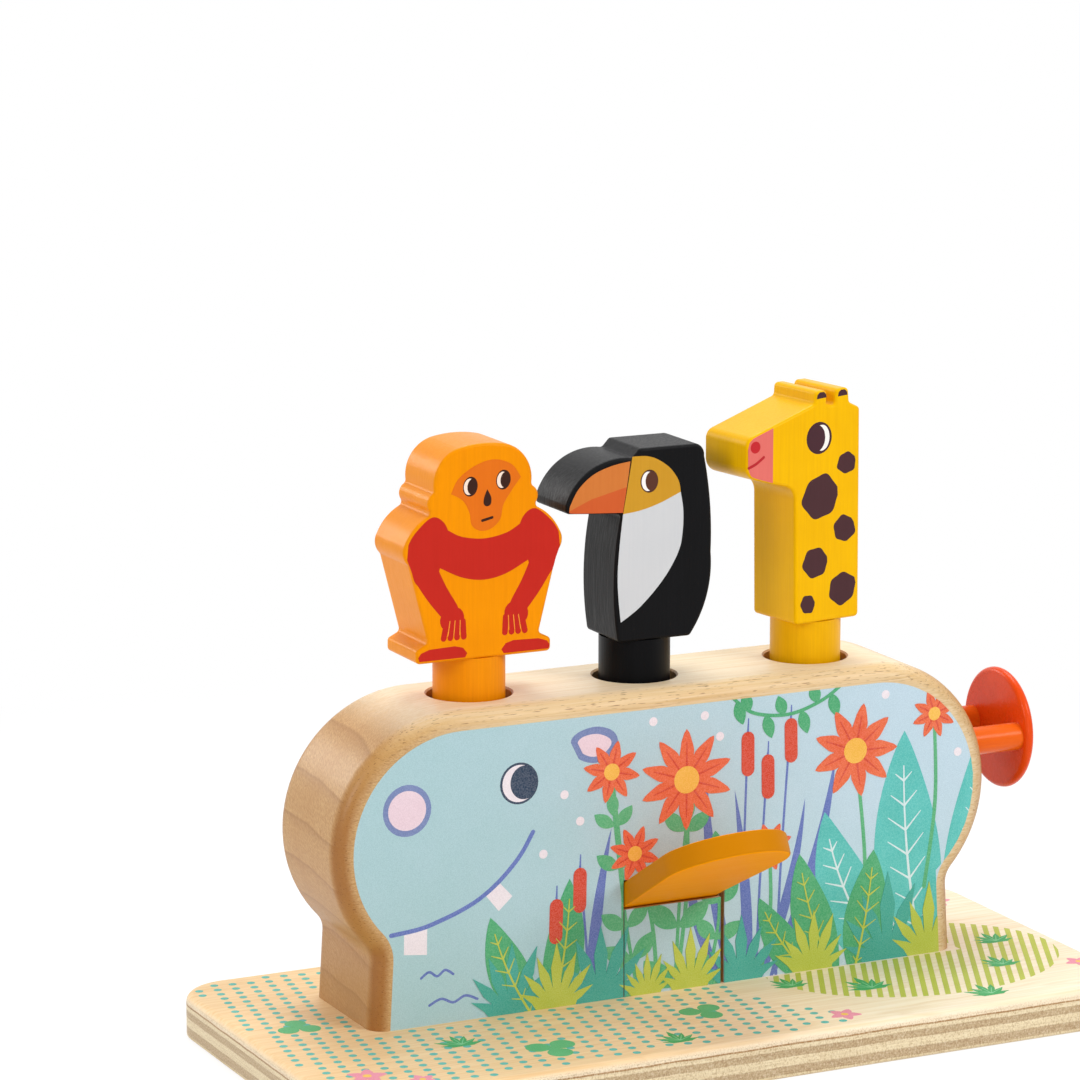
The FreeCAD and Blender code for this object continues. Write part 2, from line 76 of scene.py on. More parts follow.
class Maker:
    """A material with one Principled shader. Lengths in it are millimetres."""

    def __init__(self, name, **constants):
        self.material = bpy.data.materials.new(name)
        self.material.use_nodes = True
        self.tree = self.material.node_tree
        self.shader = self.tree.nodes["Principled BSDF"]
        self.coords = self.tree.nodes.new("ShaderNodeTexCoord")
        for key, value in constants.items():
            self.shader.inputs[key.replace("_", " ")].default_value = value

    def node(self, kind, inputs, **settings):
        node = self.tree.nodes.new("ShaderNode" + kind)
        for key, value in settings.items():
            setattr(node, key, value)
        for key, value in inputs.items():
            if isinstance(value, bpy.types.NodeSocket):
                self.tree.links.new(value, node.inputs[key])
            else:
                node.inputs[key].default_value = value
        return node

    def mm(self, scale=(1, 1, 1), turn=(0, 0, 0), shift=(0, 0, 0)):
        """Object coordinates in millimetres, shifted, turned in degrees and scaled."""
        inputs = {"Vector": self.coords.outputs["Object"], "Scale": (1000, 1000, 1000), "Location": shift}
        plain = self.node("Mapping", inputs).outputs[0]
        if turn != (0, 0, 0):
            turns = tuple(math.radians(t) for t in turn)
            plain = self.node("Mapping", {"Vector": plain, "Rotation": turns}).outputs[0]
        return self.node("Mapping", {"Vector": plain, "Scale": scale}).outputs[0]

    def noise(self, vector, detail=2.0, roughness=0.5, distortion=0.0):
        inputs = {"Vector": vector, "Scale": 1.0, "Detail": detail, "Roughness": roughness}
        inputs["Distortion"] = distortion
        return self.node("TexNoise", inputs).outputs["Fac"]

    def math(self, operation, *values):
        return self.node("Math", dict(enumerate(values)), operation=operation).outputs[0]

    def spread(self, value, low, high, to_low=0.0, to_high=1.0, smooth=False):
        """The value's range from low to high, spread over another range and held at its ends."""
        inputs = {"Value": value, "From Min": low, "From Max": high, "To Min": to_low, "To Max": to_high}
        kind = "SMOOTHSTEP" if smooth else "LINEAR"
        return self.node("MapRange", inputs, interpolation_type=kind).outputs[0]

    def ramp(self, value, stops):
        """Colours or grey levels at places from 0 to 1."""
        node = self.node("ValToRGB", {"Fac": value})
        ramp = node.color_ramp
        while len(ramp.elements) < len(stops):
            ramp.elements.new(0.5)
        for element, (place, colour) in zip(ramp.elements, stops):
            element.position = place
            element.color = rgb(colour) if isinstance(colour, str) else (colour,) * 3 + (1,)
        return node.outputs["Color"]

    def mix(self, amount, first, second, blend="MIX"):
        node = self.node("Mix", {}, data_type="RGBA", blend_type=blend)
        for socket, value in ((0, amount), (6, first), (7, second)):
            if isinstance(value, bpy.types.NodeSocket):
                self.tree.links.new(value, node.inputs[socket])
            else:
                node.inputs[socket].default_value = rgb(value) if isinstance(value, str) else value
        return node.outputs[2]

    def split(self, vector):
        return self.node("SeparateXYZ", {"Vector": vector}).outputs

    def facing(self, axis):
        """How squarely the surface faces along an axis, from 0 to 1."""
        return self.math("ABSOLUTE", self.split(self.coords.outputs["Normal"])[axis])

    def finish(self, colour, roughness, height, distance):
        """Colour, roughness and relief. The relief's distance is in millimetres."""
        inputs = {"Height": height, "Distance": distance * MM, "Strength": 1.0}
        bump = self.node("Bump", inputs).outputs[0]
        for key, socket in (("Base Color", colour), ("Roughness", roughness), ("Normal", bump)):
            self.tree.links.new(socket, self.shader.inputs[key])
        return self.material


def block_wood(name):
    """Clear lacquered softwood, its grain along X: long grain above, end grain at the sides."""
    m = Maker(name, Coat_Weight=0.16, Coat_Roughness=0.26, Specular_IOR_Level=0.2)
    normal = m.split(m.coords.outputs["Normal"])
    across, ahead = m.math("ABSOLUTE", normal[0]), m.math("ABSOLUTE", normal[1])
    wander = m.noise(m.mm((0.008, 0.022, 0.022)), 2.0)
    # Rings round a heart that lies far below the block
    place = m.split(m.mm(shift=(0, -40, 250)))
    squares = [m.math("POWER", place[axis], 2.0) for axis in (1, 2)]
    radius = m.math("SQRT", m.math("ADD", *squares))
    ring_place = m.math("ADD", m.math("MULTIPLY", radius, 0.068), m.math("MULTIPLY", wander, 0.5))
    ring_tone = [(0.0, 0.0), (0.7, 0.08), (0.9, 0.5), (0.96, 1.0), (1.0, 0.0)]
    late = m.ramp(m.math("FRACT", ring_place), ring_tone)
    fibre = m.noise(m.mm((0.03, 1.5, 1.5)), 4.0, 0.62)
    streak = m.noise(m.mm((0.006, 0.22, 0.22)), 3.0, 0.55)
    fleck = m.noise(m.mm((1.0, 0.5, 3.8), (-34, 0, 0)), 3.0, 0.68)
    hatch = m.noise(m.mm((1.0, 0.7, 7.0), (-34, 0, 0)), 2.0, 0.6)
    shade = m.noise(m.mm((0.02, 0.05, 0.02)), 2.0)
    long_grain = m.mix(m.spread(fibre, 0.3, 0.72), "#F9EBD0", "#EBD3A8")
    long_grain = m.mix(m.math("MULTIPLY", late, 0.3), long_grain, "#D6AC72")
    long_grain = m.mix(m.spread(streak, 0.5, 0.8, 0.0, 0.4), long_grain, "#DFBC86")
    end_grain = m.mix(m.spread(fleck, 0.36, 0.64), "#D4AC78", "#B78852")
    end_grain = m.mix(m.spread(hatch, 0.48, 0.64, 0.0, 0.55), end_grain, "#9E7040")
    end_grain = m.mix(m.spread(shade, 0.35, 0.7, 0.0, 0.5), end_grain, "#B98A55")
    end_grain = m.mix(m.math("MULTIPLY", late, 0.46), end_grain, "#8F5F33")
    # Painted shade: the end grain is darkened towards its foot, from 85 mm down to 30 mm
    foot = m.spread(m.split(m.mm())[2], 85, 30, 0.0, 0.34, smooth=True)
    end_grain = m.mix(foot, end_grain, "#9C6A38")
    colour = m.mix(m.spread(across, 0.16, 0.62, smooth=True), long_grain, end_grain)
    left = m.spread(m.split(m.mm())[0], -60, -108, smooth=True)
    pale_strip = m.mix(m.spread(fibre, 0.35, 0.7), "#E0C7A0", "#C9A470")
    brown_strip = m.mix(m.spread(fleck, 0.36, 0.64), "#C9A26B", "#A9783F")
    strip = m.mix(left, pale_strip, brown_strip)
    in_front = m.math("MULTIPLY", normal[1], -1.0)
    colour = m.mix(m.spread(in_front, 0.55, 0.95, 0.0, 0.9, smooth=True), colour, strip)
    # The turned front and back edges show more open grain, so they soak up lacquer and go orange brown
    corner = m.math("MULTIPLY", m.math("MULTIPLY", across, ahead), 2.0)
    soaked = m.math("MULTIPLY", m.spread(corner, 0.15, 0.85, 0.0, 0.86), m.spread(left, 0.0, 1.0, 0.35, 1.0))
    colour = m.mix(soaked, colour, "#9B642C")
    upward = m.math("ABSOLUTE", normal[2])
    turned = m.math("MULTIPLY", m.math("MULTIPLY", upward, ahead), 2.0)
    colour = m.mix(m.spread(turned, 0.2, 0.9, 0.0, 0.4), colour, "#D9AC62")
    pores = m.noise(m.mm((0.24, 2.3, 2.3)), 1.0)
    pore = m.spread(pores, 0.63, 0.71, smooth=True)
    edge = m.math("MAXIMUM", corner, turned)
    open_pore = m.math("MULTIPLY", pore, m.spread(edge, 0.0, 0.7, 0.1, 0.62))
    colour = m.mix(open_pore, colour, "#74481F")
    height = m.math("SUBTRACT", m.math("MULTIPLY", fibre, 0.6), open_pore)
    rough = m.spread(fibre, 0.2, 0.8, 0.36, 0.5)
    return m.finish(colour, rough, height, 0.05)


def ply_wood(name):
    """Birch plywood: pale veneer above and layers of long and end grain along its edge."""
    m = Maker(name, Coat_Weight=0.1, Coat_Roughness=0.3, Specular_IOR_Level=0.25)
    fibre = m.noise(m.mm((0.025, 0.85, 0.85)), 4.0, 0.6)
    figure = m.noise(m.mm((0.006, 0.05, 0.05)), 3.0, 0.5, 0.6)
    # Painted light and shade: the veneer is darker and warmer towards the left and paler towards the right
    right = m.spread(m.split(m.mm())[0], -80, 90, smooth=True)
    pale = m.mix(right, "#F3D5A6", "#FBEFD8")
    dark = m.mix(right, "#E6BE88", "#EFDCB6")
    veneer = m.mix(m.spread(fibre, 0.3, 0.72), pale, dark)
    band_tone = [(0.0, 0.0), (0.6, 0.2), (0.85, 1.0), (1.0, 0.0)]
    bands = m.ramp(m.math("FRACT", m.math("MULTIPLY", figure, 9.0)), band_tone)
    veneer = m.mix(m.math("MULTIPLY", bands, 0.22), veneer, "#D6AE74")
    wobble = m.noise(m.mm((0.09, 0.09, 0.0)), 2.0)
    level = m.math("ADD", m.split(m.mm())[2], m.spread(wobble, 0.3, 0.7, -0.12, 0.12))
    # How high each layer starts, in millimetres, and its colour
    layers = [
        (0.0, "#A08058"), (0.4, "#E9D7B0"), (1.3, "#C6AE8A"), (4.3, "#EAD9B4"),
        (7.4, "#C4AC87"), (10.0, "#E9D8B4"), (11.5, "#B08A5C"), (12.1, "#F0DEC0"),
    ]
    blur = 0.12
    stops = []
    for (low, colour), nearer in zip(layers, layers[1:] + [None]):
        stops.append(((low + blur) / BASE_TOP, colour))
        if nearer:
            stops.append(((nearer[0] - blur) / BASE_TOP, colour))
    side = m.ramp(m.math("DIVIDE", level, BASE_TOP), stops)
    cross = m.noise(m.mm((0.06, 0.06, 2.6)), 3.0, 0.6)
    side = m.mix(m.spread(cross, 0.4, 0.75, 0.0, 0.35), side, "#B39468", "MULTIPLY")
    grain = m.noise(m.mm((2.2, 2.2, 1.6)), 2.0, 0.6)
    side = m.mix(m.spread(grain, 0.5, 0.68, 0.0, 0.5), side, "#B5966C", "MULTIPLY")
    side = m.mix(m.spread(grain, 0.34, 0.46, 0.3, 0.0), side, "#F6EBD2")
    upright = m.spread(m.facing(2), 0.25, 0.8, smooth=True)
    colour = m.mix(upright, side, veneer)
    height = m.math("ADD", m.math("MULTIPLY", fibre, 0.5), m.math("MULTIPLY", cross, 0.35))
    rough = m.spread(fibre, 0.2, 0.8, 0.42, 0.55)
    return m.finish(colour, rough, height, 0.05)


def plain_wood(name, pale, dark, along=(1.1, 1.1, 0.03)):
    """Bare or lightly oiled wood, its grain along one axis."""
    m = Maker(name, Specular_IOR_Level=0.35)
    fibre = m.noise(m.mm(along), 4.0, 0.6)
    bands = m.noise(m.mm(tuple(a * 0.25 for a in along)), 2.0)
    colour = m.mix(m.spread(fibre, 0.3, 0.72), pale, dark)
    colour = m.mix(m.spread(bands, 0.45, 0.75, 0.0, 0.4), colour, dark)
    return m.finish(colour, m.spread(fibre, 0.2, 0.8, 0.5, 0.62), fibre, 0.06)


def inked(name, colour, second, across=None):
    """Ink on coated paper: a fine speckle and tooth, with a slow drift towards a second colour."""
    m = Maker(name, Specular_IOR_Level=0.12)
    tooth = m.noise(m.mm((2.6, 2.6, 2.6)), 3.0, 0.65)
    cloud = m.noise(m.mm((0.07, 0.07, 0.07)), 2.0)
    if across:
        # Painted shade: along X the tone drifts from the first colour to the second, so one side reads as shaded
        sway = m.spread(cloud, 0.3, 0.7, -0.08, 0.08)
        drift = m.math("ADD", m.spread(m.split(m.mm())[0], *across), sway)
    else:
        drift = m.spread(cloud, 0.3, 0.7)
    tone = m.mix(drift, colour, second)
    pale = m.mix(0.09, tone, (1, 1, 1, 1))
    deep = m.mix(0.1, tone, (0, 0, 0, 1))
    tone = m.mix(m.spread(tooth, 0.36, 0.66), deep, pale)
    return m.finish(tone, m.spread(tooth, 0.3, 0.7, 0.42, 0.56), tooth, 0.018)


def painted(name, colour, deep, along, rough=(0.34, 0.46), depth=0.035, coat=0.0, gloss=0.3, rim=None):
    """Water based paint on wood: the grain shows through as fine ridges and a change of tone."""
    tint = tuple(0.22 + 0.78 * c for c in rgb(colour)[:3]) + (1,)
    m = Maker(name, Coat_Weight=coat, Coat_Roughness=0.2, Specular_IOR_Level=gloss, Specular_Tint=tint)
    fibre = m.noise(m.mm(along), 4.0, 0.6)
    cloud = m.noise(m.mm((0.05, 0.05, 0.05)), 3.0)
    tooth = m.noise(m.mm((1.6, 1.6, 1.6)), 2.0)
    tone = m.mix(m.spread(fibre, 0.35, 0.75, 0.0, 0.5), colour, deep)
    tone = m.mix(m.spread(cloud, 0.4, 0.7, 0.0, 0.35), tone, deep)
    if rim:
        # A board's sawn edge takes up more paint than its flat faces
        edge_colour, flat_way = rim
        normal = m.split(m.coords.outputs["Normal"])
        parts = [m.math("MULTIPLY", normal[axis], flat_way[axis]) for axis in (1, 2)]
        square = m.math("ABSOLUTE", m.math("ADD", *parts))
        tone = m.mix(m.spread(square, 0.6, 0.9, 0.85, 0.0), tone, edge_colour)
    height = m.math("ADD", m.math("MULTIPLY", fibre, 0.8), m.math("MULTIPLY", tooth, 0.25))
    return m.finish(tone, m.spread(fibre, 0.25, 0.75, *rough), height, depth)


def steel(name, colour):
    """Drawn steel with fine marks along it."""
    m = Maker(name, Metallic=1.0)
    drawn = m.noise(m.mm((0.4, 2.0, 2.0)), 3.0)
    tone = m.mix(m.spread(drawn, 0.3, 0.7), colour, "#8E9196")
    return m.finish(tone, m.spread(drawn, 0.3, 0.7, 0.28, 0.42), drawn, 0.01)


PADDLE_UP = (0.0, math.sin(PADDLE_TILT), math.cos(PADDLE_TILT))
UP = (1.2, 1.2, 0.045)
ALONG = (0.045, 1.2, 1.2)
MATERIALS = {
    "base_board": ply_wood("birch_ply"),
    "hippo_body": block_wood("lacquered_block"),
    # The print ground runs from darker at the left to paler at the right: painted shade
    "front_print": inked("print_ground", "#A6C8CE", "#BDD4E2", (-90, 90)),
    "filler_print": inked("print_ground_filler", "#AECDD6", "#B3CFDA"),
    "notch_filler": plain_wood("filler_wood", "#E2C28F", "#C39A62", ALONG),
    "paddle_lever": painted("amber_paint", "#FFA000", "#F89600", ALONG, (0.4, 0.5), 0.06, gloss=0.05,
                            rim=("#BE760A", PADDLE_UP)),
    "monkey_figure": painted("orange_paint", "#F09200", "#E18200", UP, (0.26, 0.4), 0.06, gloss=0.2),
    "monkey_peg": painted("orange_peg_paint", "#EE9000", "#DC7C00", UP),
    "toucan_figure": painted("black_paint", "#0F0F11", "#070708", UP, (0.36, 0.56), 0.12),
    "toucan_peg": painted("black_peg_paint", "#0C0C0E", "#060607", UP, (0.34, 0.5), 0.06, gloss=0.25),
    "giraffe_figure": painted("yellow_paint", "#F0B800", "#E2A400", UP, (0.26, 0.4), 0.06, gloss=0.2),
    "giraffe_peg": painted("yellow_peg_paint", "#EBB000", "#D59600", UP),
    "plunger_disc": painted("red_paint", "#E24A0C", "#D43E08", (0.3, 0.3, 0.3), (0.22, 0.32), 0.01, 0.1),
    "plunger_rod_front": painted("red_rod_paint", "#E86412", "#DA520C", ALONG, (0.24, 0.34), 0.015, 0.1),
    "plunger_wedge": plain_wood("wedge_wood", "#DDBB86", "#C0955B", ALONG),
    "lever_axle": steel("axle_steel", "#C9CCD0"),
    "base_screws": steel("screw_steel", "#B4B7BB"),
    "monkey_spring": steel("spring_steel", "#A7ABB0"),
}
SAME = {
    "plunger_rod_back": "plunger_rod_front",
    "axle_keepers": "plunger_wedge",
    "wedge_guide_block": "plunger_wedge",
    "monkey_spring_cup": "plunger_wedge",
    "toucan_tappet": "plunger_wedge",
    "giraffe_tappet": "plunger_wedge",
}
for name, node in nodes.items():
    for slot in node.material_slots:
        slot.material = MATERIALS[SAME.get(name, name)]


# The coil spring under the monkey, which shortens as the monkey is pressed down, is swapped for a copy with a
# mesh of its own, on the block
coil_mesh = nodes["monkey_spring"].data.copy()
coil_mesh.materials.clear()
coil_mesh.materials.append(MATERIALS["monkey_spring"])
coil = bpy.data.objects.new("press_spring", coil_mesh)
bpy.context.scene.collection.objects.link(coil)
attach(coil, "block")
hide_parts("monkey_spring")
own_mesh(coil)


# Flat shapes, as lists of (across, up) points in millimetres

def smooth(points, steps=8):
    """A smooth line through the points."""
    padded = [points[0]] + list(points) + [points[-1]]
    line = []
    for before, start, end, after in zip(padded, padded[1:], padded[2:], padded[3:]):
        for k in range(steps):
            t = k / steps
            weights = (
                -0.5 * t + t * t - 0.5 * t ** 3, 1 - 2.5 * t * t + 1.5 * t ** 3,
                0.5 * t + 2 * t * t - 1.5 * t ** 3, -0.5 * t * t + 0.5 * t ** 3,
            )
            four = (before, start, end, after)
            line.append(tuple(sum(w * p[i] for w, p in zip(weights, four)) for i in (0, 1)))
    return line + [tuple(points[-1])]


def closed(points, steps=6):
    """A smooth closed outline through the points."""
    ring = list(points)
    around = ring[-2:] + ring + ring[:2]
    line = smooth(around, steps)
    return line[2 * steps:-2 * steps - 1]


def band(line, start, end=None, middle=None, caps=5):
    """A brush stroke along a line, as wide as start and end say, with round ends."""
    end = start if end is None else end
    count = len(line) - 1
    left, right = [], []
    for k, (x, y) in enumerate(line):
        ax, ay = line[max(0, k - 1)]
        bx, by = line[min(count, k + 1)]
        length = math.hypot(bx - ax, by - ay) or 1.0
        nx, ny = -(by - ay) / length, (bx - ax) / length
        t = k / count
        half = (start * (1 - t) + end * t) / 2
        if middle is not None:
            half += (middle - (start + end) / 2) / 2 * math.sin(math.pi * t)
        left.append((x + nx * half, y + ny * half))
        right.append((x - nx * half, y - ny * half))

    def cap(centre, first, width):
        if width < 0.3:
            return []
        angle = math.atan2(first[1] - centre[1], first[0] - centre[0])
        turns = [angle - math.pi * (k + 1) / (caps + 1) for k in range(caps)]
        return [(centre[0] + width / 2 * math.cos(t), centre[1] + width / 2 * math.sin(t)) for t in turns]

    return left + cap(line[-1], left[-1], end) + right[::-1] + cap(line[0], right[0], start)


def oval(centre, across, up=None, turn=0.0, count=28):
    up = across if up is None else up
    c, s = math.cos(math.radians(turn)), math.sin(math.radians(turn))
    ring = []
    for k in range(count):
        a = 2 * math.pi * k / count
        x, y = across * math.cos(a), up * math.sin(a)
        ring.append((centre[0] + x * c - y * s, centre[1] + x * s + y * c))
    return ring


def rib(base, tip, bend=0.0, share=0.86, count=10):
    """The line along a leaf's middle, for a share of its length."""
    dx, dy = tip[0] - base[0], tip[1] - base[1]
    control = (base[0] + dx / 2 - dy * bend, base[1] + dy / 2 + dx * bend)
    line = []
    for k in range(count + 1):
        t = share * k / count
        weights = ((1 - t) ** 2, 2 * t * (1 - t), t * t)
        line.append(tuple(sum(w * q[i] for w, q in zip(weights, (base, control, tip))) for i in (0, 1)))
    return line


def leaf(base, tip, width, bend=0.0, full=1.0, count=14):
    """A leaf from base to tip, with its widest part nearer the base for a larger full."""
    middle = rib(base, tip, bend, 1.0, count)
    left, right = [], []
    for k in range(1, count):
        ax, ay = middle[k - 1]
        bx, by = middle[k + 1]
        length = math.hypot(bx - ax, by - ay)
        half = width / 2 * math.sin(math.pi * (k / count) ** (1 / full)) ** 0.85
        nx, ny = -(by - ay) / length * half, (bx - ax) / length * half
        left.append((middle[k][0] + nx, middle[k][1] + ny))
        right.append((middle[k][0] - nx, middle[k][1] - ny))
    return [base] + left + [tip] + right[::-1]


def veins(base, tip, width, bend, pairs, thick):
    """Side veins of a broad leaf."""
    line = rib(base, tip, bend, 0.9, pairs + 1)
    found = []
    for k in range(1, pairs + 1):
        (ax, ay), (x, y) = line[k - 1], line[k]
        along = math.atan2(y - ay, x - ax)
        reach = width * 0.36 * math.sin(math.pi * k / (pairs + 1.4))
        for side in (-1, 1):
            end = polar((x, y), reach, math.degrees(along + side * 0.85))
            found.append(band([(x, y), end], thick, thick * 0.4))
    return found


def polar(centre, radius, degrees):
    a = math.radians(degrees)
    return (centre[0] + radius * math.cos(a), centre[1] + radius * math.sin(a))


def blades(centre, tips, pitch, valley):
    """One outline of pointed blades round a centre. Each tip is an angle and a length."""
    ring = []
    for angle, length in tips:
        ring.append(polar(centre, valley, angle - pitch / 2))
        ring.append(polar(centre, length * 0.64, angle - pitch * 0.38))
        ring.append(polar(centre, length, angle))
        ring.append(polar(centre, length * 0.64, angle + pitch * 0.38))
    return ring


def flower(centre, petals, size, start):
    """Pointed petals round a centre, the first at the angle start."""
    pitch = 360 / petals
    tips = [(start + pitch * k, size) for k in range(petals)]
    return closed(blades(centre, tips, pitch, size * 0.5), 3)


def clover(centre, size, turn):
    """Three round pads that meet in the middle."""
    ring = []
    for a in range(0, 360, 5):
        reach = 0.16 + 0.84 * abs(math.cos(math.radians(1.5 * a))) ** 0.6
        ring.append(polar(centre, size * reach, turn + a))
    return ring


def sprig(line, pairs, length, width):
    """Leaves in pairs along a stem, smaller towards its end, and one leaf at the end."""
    spread, first, final, shrink = 52.0, 0.12, 0.97, 0.35
    last = len(line) - 1
    found = []
    for k in range(pairs):
        t = first + (final - first) * k / (pairs - 1)
        i = min(last - 1, int(t * last))
        (ax, ay), (bx, by) = line[i], line[i + 1]
        along = math.degrees(math.atan2(by - ay, bx - ax))
        size = length * (1 - shrink * t)
        for side in (-1, 1):
            tip = polar((ax, ay), size, along + side * spread)
            found.append(leaf((ax, ay), tip, width * (1 - shrink * t), side * 0.1))
    (ax, ay), (bx, by) = line[-2], line[-1]
    along = math.degrees(math.atan2(by - ay, bx - ax))
    tip = polar(line[-1], length * (1 - shrink), along)
    found.append(leaf(line[-1], tip, width * (1 - shrink)))
    return found


def tuft(centre, height, lean, valley, rng):
    """Grass blades that fan out from one place, as one outline."""
    count = 7
    pitch = 2 * lean / (count - 1)
    tips = []
    for k in range(count):
        t = k / (count - 1) * 2 - 1
        tips.append((90 + t * lean, height * (1 - 0.32 * abs(t)) * rng.uniform(0.88, 1.08)))
    half, foot_y = height * valley * 0.8, centre[1] - 1.0
    ring = blades(centre, tips, pitch, height * valley)
    return [(centre[0] + half, foot_y)] + ring + [(centre[0] - half, foot_y)]


# Printing: thin closed sheets of ink, cut to the panel

def half_planes(low=None, high=None, left=None, right=None, more=()):
    """Each is a point and a normal that points out of the region."""
    found = list(more)
    for value, normal in ((left, (-1, 0)), (right, (1, 0)), (low, (0, -1)), (high, (0, 1))):
        if value is not None:
            point = (value, 0) if normal[0] else (0, value)
            found.append((point, normal))
    return found


def cheek(side):
    """Lines that touch the cheek's arc, from the waist to the top."""
    found = []
    for degrees in range(-45, 91, 9):
        a = math.radians(degrees)
        normal = (side * math.cos(a), math.sin(a))
        found.append(((side * CHEEK_X + normal[0] * CHEEK_R, CHEEK_Z + normal[1] * CHEEK_R), normal))
    return found


def foot(side):
    """The sloping side of the block's foot."""
    lean = (FOOT_X - WAIST_X) / (WAIST_Z - BASE_TOP)
    return [((side * FOOT_X, BASE_TOP), (side, lean))]


FRONT_REGIONS = [
    half_planes(BASE_TOP, WAIST_Z, None, NOTCH[0], foot(-1)),
    half_planes(WAIST_Z, None, None, NOTCH[0], cheek(-1)),
    half_planes(NOTCH_TOP, PANEL_TOP, *NOTCH),
    half_planes(BASE_TOP, WAIST_Z, NOTCH[1], None, foot(1)),
    half_planes(WAIST_Z, None, NOTCH[1], None, cheek(1)),
    half_planes(BASE_TOP, FILLER_TOP, *FILLER),
]


def cut(polygon, planes):
    """A convex polygon cut to a convex region."""
    for point, normal in planes:
        heights = [(p[0] - point[0]) * normal[0] + (p[1] - point[1]) * normal[1] for p in polygon]
        kept = []
        for k, here in enumerate(polygon):
            before = polygon[k - 1]
            if (heights[k] < 0) != (heights[k - 1] < 0):
                t = heights[k] / (heights[k] - heights[k - 1])
                kept.append((here[0] + (before[0] - here[0]) * t, here[1] + (before[1] - here[1]) * t))
            if heights[k] < 0:
                kept.append(here)
        polygon = kept
        if len(polygon) < 3:
            return []
    return polygon


def area(polygon):
    return sum(a[0] * b[1] - b[0] * a[1] for a, b in zip(polygon, polygon[1:] + polygon[:1])) / 2


# The height of a layer of ink, how far its underside is sunk, and the least area that is kept
INK_STEP = 0.03
INK_SUNK = 0.05
SLIVER = 1e-5


def cut_shape(shape, triangles, region):
    """The part of a shape inside a region, as corners and as rings of indices into them."""
    index, corners, rings = {}, [], []
    for triangle in triangles:
        polygon = [shape[i] for i in triangle]
        if area(polygon) < 0:
            polygon.reverse()
        if region is not None:
            polygon = cut(polygon, region)
        ring = []
        for x, y in polygon:
            key = (round(x, 4), round(y, 4))
            if key not in index:
                index[key] = len(corners)
                corners.append(key)
            if not ring or ring[-1] != index[key]:
                ring.append(index[key])
        if len(ring) > 1 and ring[0] == ring[-1]:
            ring.pop()
        if len(ring) > 2 and abs(area([corners[i] for i in ring])) > SLIVER:
            rings.append(ring)
    return corners, rings


def printed(name, shapes, place, layer, material, body, regions=(None,)):
    """One object of thin ink sheets. place turns (across, up, out) into millimetres in the frame."""
    vertices, faces = [], []
    for number, shape in enumerate(shapes):
        triangles = tessellate_polygon([[Vector((x, y, 0)) for x, y in shape]])
        # Shapes of one layer that overlap lie at slightly different heights
        out = INK_STEP * (layer + 1 + 0.8 * number / len(shapes))
        for region in regions:
            corners, rings = cut_shape(shape, triangles, region)
            top = len(vertices)
            under = top + len(corners)
            if rings:
                vertices += [place(x, y, out) for x, y in corners]
                vertices += [place(x, y, -INK_SUNK) for x, y in corners]
            edges = {}
            for ring in rings:
                faces.append([top + i for i in ring])
                faces.append([under + i for i in reversed(ring)])
                for edge in zip(ring, ring[1:] + ring[:1]):
                    edges[edge] = True
            for a, b in edges:
                if (b, a) not in edges:
                    faces.append([top + b, top + a, under + a, under + b])
    mesh = bpy.data.meshes.new(name)
    mesh.from_pydata([tuple(c * MM for c in v) for v in vertices], [], faces)
    mesh.validate()
    mesh.materials.append(material)
    piece = bpy.data.objects.new(name, mesh)
    bpy.context.scene.collection.objects.link(piece)
    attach(piece, body)


def on_front(x, y, out):
    return (x, FRONT_Y - out, y)


def on_base(x, y, out):
    return (x, y, BASE_TOP + out)


def on_figure(animal):
    c, s = math.cos(FIGURE_TURN[animal]), math.sin(FIGURE_TURN[animal])

    def place(x, y, out):
        ahead = -FIGURE_FRONT - out
        return (PEG_X[animal] + x * c - ahead * s, PEG_Y + x * s + ahead * c, FIGURE_FOOT + y)

    return place


def front(name, shapes, layer, ink):
    printed(name, shapes, on_front, layer, ink, "block", FRONT_REGIONS)


rng = random.Random(11)
INK = {
    "teal": inked("ink_teal", "#4FB9B2", "#5CC3BE"),
    "deep_teal": inked("ink_deep_teal", "#35A08F", "#3FA99A"),
    "green": inked("ink_green", "#4CA872", "#5AB27C"),
    "leaf_green": inked("ink_leaf_green", "#3FA26B", "#4BAA73"),
    "lime": inked("ink_lime", "#B4C03A", "#C0C94B"),
    "orange": inked("ink_orange", "#E25A2E", "#E86A3A"),
    "red": inked("ink_red", "#D03C1E", "#D64626"),
    "violet": inked("ink_violet", "#5B6FB5", "#6476BC"),
    "pale": inked("ink_pale", "#CFE3E6", "#D7E8EA"),
    "pink": inked("ink_pink", "#E6CBD6", "#EAD1DB"),
    "white": inked("ink_white", "#EADFE6", "#EEE4EA"),
    "navy": inked("ink_navy", "#22364F", "#273C57"),
    "mauve": inked("ink_mauve", "#6F7FB0", "#7585B5"),
}

# The hippo's face
smile = smooth([(-107.0, 48.4), (-96.3, 49.4), (-88.9, 51.3), (-81.4, 53.8), (-73.9, 57.3), (-66.4, 62.7),
                (-58.9, 70.4), (-53.9, 78.3)])
front("face_teeth", [
    [(-102.3, 41.0), (-93.8, 40.0), (-93.6, 50.2), (-102.2, 49.4)],
    [(-66.9, 52.0), (-61.7, 56.6), (-67.2, 62.6), (-72.2, 58.6)],
], 0, INK["white"])
front("face_smile", [band(smile, 1.55)], 1, INK["violet"])
front("face_nostril_ring", [oval((-100.8, 91.1), 8.9, 9.0)], 0, INK["mauve"])
front("face_nostril", [oval((-100.8, 91.1), 7.0, 6.9)], 1, INK["pink"])
front("face_eye_rim", [oval((-59.1, 95.9), 7.2, 7.3)], 0, INK["navy"])
front("face_eye_white", [oval((-59.1, 95.9), 6.3, 6.5, count=40)], 1, INK["white"])
front("face_pupil", [oval((-57.2, 96.1), 5.2, 5.9, count=40)], 2, INK["navy"])
